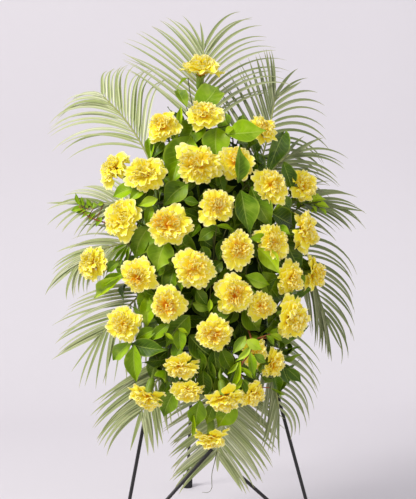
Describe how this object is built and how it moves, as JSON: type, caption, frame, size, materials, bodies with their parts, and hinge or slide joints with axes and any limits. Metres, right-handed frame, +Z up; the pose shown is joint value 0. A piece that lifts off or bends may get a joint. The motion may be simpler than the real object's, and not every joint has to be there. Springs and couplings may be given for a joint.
{
  "type": "standing funeral arrangement",
  "caption": "Oval spray of yellow carnations, glossy leaves and palm fronds set in floral foam on a folding black wire easel.",
  "frame": {"origin": "centre of the whole part's box, on the floor", "axes": "+Z up, -Y towards the viewer of the flowers, +X to the viewer's right"},
  "size_m": [0.5918, 0.6174, 0.968],
  "materials": {
    "black_steel": "near-black satin enamel on steel wire",
    "black_rubber": "matte black rubber",
    "green_plastic": "dark green moulded plastic",
    "floral_foam": "matte green open-cell foam, damp",
    "yellow_petal": "thin soft petals with pale frilled edges",
    "glossy_leaf": "glossy green leaf with a pale midrib",
    "palm_leaf": "satin grey-green leaflets"
  },
  "bodies": {
    "front_frame": {"carnation_01": "yellow_petal", "carnation_02": "yellow_petal", "carnation_03": "yellow_petal", "carnation_04": "yellow_petal", "carnation_07": "yellow_petal", "carnation_08": "yellow_petal", "carnation_11": "yellow_petal", "carnation_12": "yellow_petal", "carnation_13": "yellow_petal", "carnation_16": "yellow_petal", "carnation_17": "yellow_petal", "carnation_18": "yellow_petal", "carnation_19": "yellow_petal", "carnation_22": "yellow_petal", "carnation_23": "yellow_petal", "carnation_26": "yellow_petal", "carnation_27": "yellow_petal", "carnation_30": "yellow_petal", "carnation_31": "yellow_petal", "carnation_35": "yellow_petal", "carnation_twin_05_06": "yellow_petal", "carnation_twin_10_09": "yellow_petal", "carnation_twin_14_15": "yellow_petal", "carnation_twin_20_21": "yellow_petal", "carnation_twin_25_24": "yellow_petal", "carnation_twin_28_32": "yellow_petal", "carnation_twin_34_33": "yellow_petal", "crossbar_lower": "black_steel", "crossbar_upper": "black_steel", "floral_foam": "floral_foam", "foam_tray": "green_plastic", "foot_brace_left": "black_steel", "foot_brace_right": "black_steel", "foot_cap_left": "black_rubber", "foot_cap_right": "black_rubber", "front_leg_left": "black_steel", "front_leg_right": "black_steel", "head_bracket": "black_steel", "hinge_pin": "black_steel", "leaf_sprig_bottom": "glossy_leaf", "leaf_sprig_left": "glossy_leaf", "leaf_sprig_lower_left": "glossy_leaf", "leaf_sprig_right": "glossy_leaf", "leaf_sprig_top": "glossy_leaf", "leaf_sprig_upper_right": "glossy_leaf", "palm_bottom": "palm_leaf", "palm_left": "palm_leaf", "palm_left_high": "palm_leaf", "palm_left_low": "palm_leaf", "palm_lower_left": "palm_leaf", "palm_lower_right": "palm_leaf", "palm_right": "palm_leaf", "palm_right_high": "palm_leaf", "palm_right_low": "palm_leaf", "palm_top": "palm_leaf", "palm_upper_left": "palm_leaf", "palm_upper_right": "palm_leaf"},
    "rear_strut": {"foot_cap_rear": "black_rubber", "rear_leg": "black_steel"}
  },
  "joints": [
    {"name": "rear_leg_hinge", "type": "hinge", "parent": "front_frame", "child": "rear_strut", "pos_m": [-0.004, 0.06599, 0.7536], "axis": [-1, 0, 0], "range_deg": [0, 34]}
  ]
}
